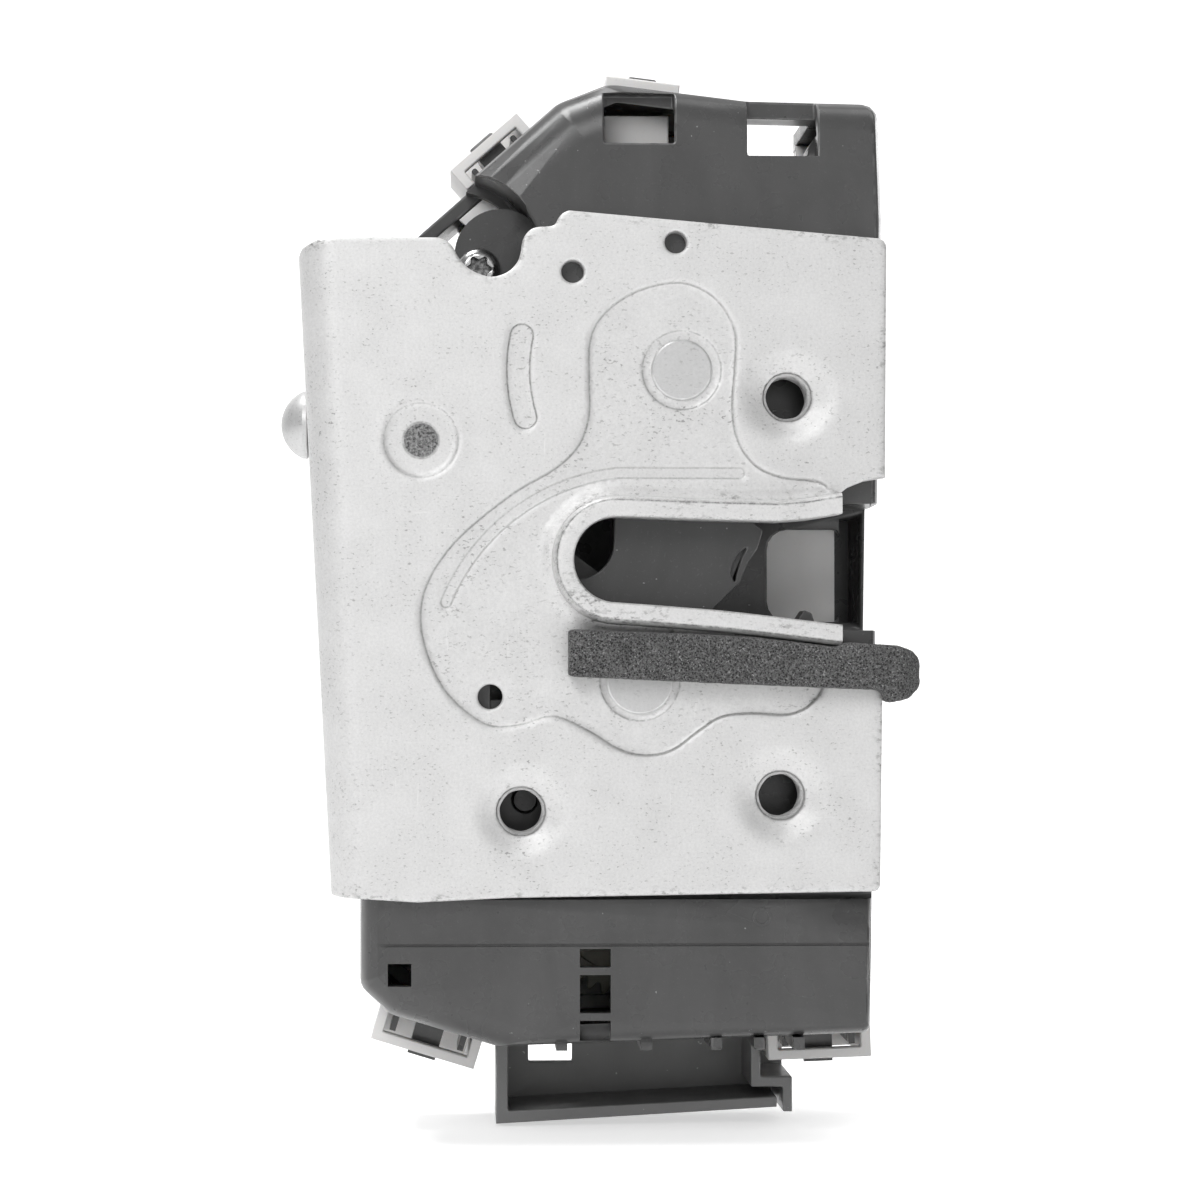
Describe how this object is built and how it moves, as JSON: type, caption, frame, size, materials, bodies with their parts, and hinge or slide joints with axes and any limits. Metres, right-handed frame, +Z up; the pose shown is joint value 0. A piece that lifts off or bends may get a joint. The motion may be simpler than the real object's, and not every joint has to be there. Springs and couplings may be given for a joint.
{
  "type": "door latch",
  "caption": "Vehicle door latch with catch, pawl, release levers and lock drive behind a steel plate, in a moulded housing with rear cover and connector socket.",
  "frame": {"origin": "centre of the striker slot's round end on the steel plate's outer face", "axes": "+Z up the plate, which is its longest extent; -Y out of the plate's outer face, along the door screws; +X towards the slot's mouth"},
  "size_m": [0.104, 0.0642, 0.1771],
  "materials": {
    "zinc_plate": "zinc plated, dull bright",
    "steel_pin": "turned steel",
    "dark_rivet": "dark phosphate",
    "pressed_steel": "pressed and plated",
    "spring_steel": "drawn wire",
    "forged_steel": "hardened, dark",
    "screw_steel": "bright",
    "brass": "turned",
    "terminal_tin": "plated",
    "black_plastic": "moulded, fine texture",
    "cover_plastic": "natural, satin",
    "jacket_plastic": "moulded over steel",
    "gear_plastic": "acetal",
    "clip_plastic": "acetal",
    "foam": "open cell foam",
    "rubber": "matt"
  },
  "bodies": {
    "case": {"latch_plate": "zinc_plate", "foam_seal": "foam", "catch_rivet": "steel_pin", "pawl_rivet": "steel_pin", "lever_rivet": "dark_rivet", "flange_rivet": "steel_pin", "back_plate": "pressed_steel", "front_housing": "black_plastic", "rear_cover": "cover_plastic", "guide_bracket": "black_plastic", "connector_socket": "black_plastic", "terminals": "terminal_tin", "bump_stop": "rubber", "cover_screws": "screw_steel", "motor": "pressed_steel", "gear_pins": "steel_pin", "inside_pin": "steel_pin", "ajar_switch": "black_plastic"},
    "catch": {"catch_core": "forged_steel", "catch_sleeve": "jacket_plastic", "catch_spring": "spring_steel"},
    "pawl": {"pawl_core": "forged_steel", "pawl_sleeve": "jacket_plastic", "pawl_spring": "spring_steel"},
    "release": {"release_lever": "pressed_steel"},
    "outside": {"outside_lever": "pressed_steel", "outside_spring": "spring_steel", "rod_clip": "clip_plastic"},
    "inside": {"inside_lever": "pressed_steel"},
    "lock": {"lock_lever": "gear_plastic"},
    "wheel": {"drive_wheel": "gear_plastic"},
    "pinion": {"motor_pinion": "brass"},
    "plunger": {"switch_plunger": "cover_plastic"}
  },
  "joints": [
    {"name": "catch_turn", "type": "hinge", "parent": "case", "child": "catch", "pos_m": [0.0039, 0.007, -0.0195], "axis": [0, 1, 0], "range_deg": [-72, 0], "stiffness_Nm_per_rad": 0.02, "springref_deg": 28.65},
    {"name": "pawl_turn", "type": "hinge", "parent": "case", "child": "pawl", "pos_m": [0.0107, 0.007, 0.0308], "axis": [0, 1, 0], "range_deg": [-8, 4]},
    {"name": "release_turn", "type": "hinge", "parent": "case", "child": "release", "pos_m": [-0.0315, 0.012, 0.0193], "axis": [0, 1, 0], "range_deg": [-7, 13.8]},
    {"name": "outside_turn", "type": "hinge", "parent": "case", "child": "outside", "pos_m": [-0.045, 0.02, 0.023], "axis": [1, 0, 0], "range_deg": [-17.8, 9]},
    {"name": "inside_turn", "type": "hinge", "parent": "case", "child": "inside", "pos_m": [0.014, 0.047, 0.04], "axis": [0, 1, 0], "range_deg": [0, 25], "stiffness_Nm_per_rad": 0.02, "springref_deg": -17.19},
    {"name": "lock_turn", "type": "hinge", "parent": "case", "child": "lock", "pos_m": [-0.01441, 0.039, -0.03922], "axis": [0, 1, 0], "range_deg": [-36, 0]},
    {"name": "wheel_turn", "type": "hinge", "parent": "case", "child": "wheel", "pos_m": [0.00474, 0.036, -0.05529], "axis": [0, 1, 0], "range_deg": [0, 144]},
    {"name": "pinion_turn", "type": "hinge", "parent": "case", "child": "pinion", "pos_m": [0.02599, 0.036, -0.06098], "axis": [0, 1, 0], "range_deg": [-648, 0]},
    {"name": "plunger_slide", "type": "slide", "parent": "case", "child": "plunger", "axis": [-1, 0, 0], "range_m": [0, 0.0015], "stiffness_N_per_m": 300, "springref_m": -0.001}
  ],
  "couplings": [
    {"joint": "release_turn", "follows": "pawl_turn", "ratio": -1.69},
    {"joint": "outside_turn", "follows": "pawl_turn", "ratio": 2.18},
    {"joint": "wheel_turn", "follows": "lock_turn", "ratio": -4},
    {"joint": "pinion_turn", "follows": "lock_turn", "ratio": 18}
  ]
}
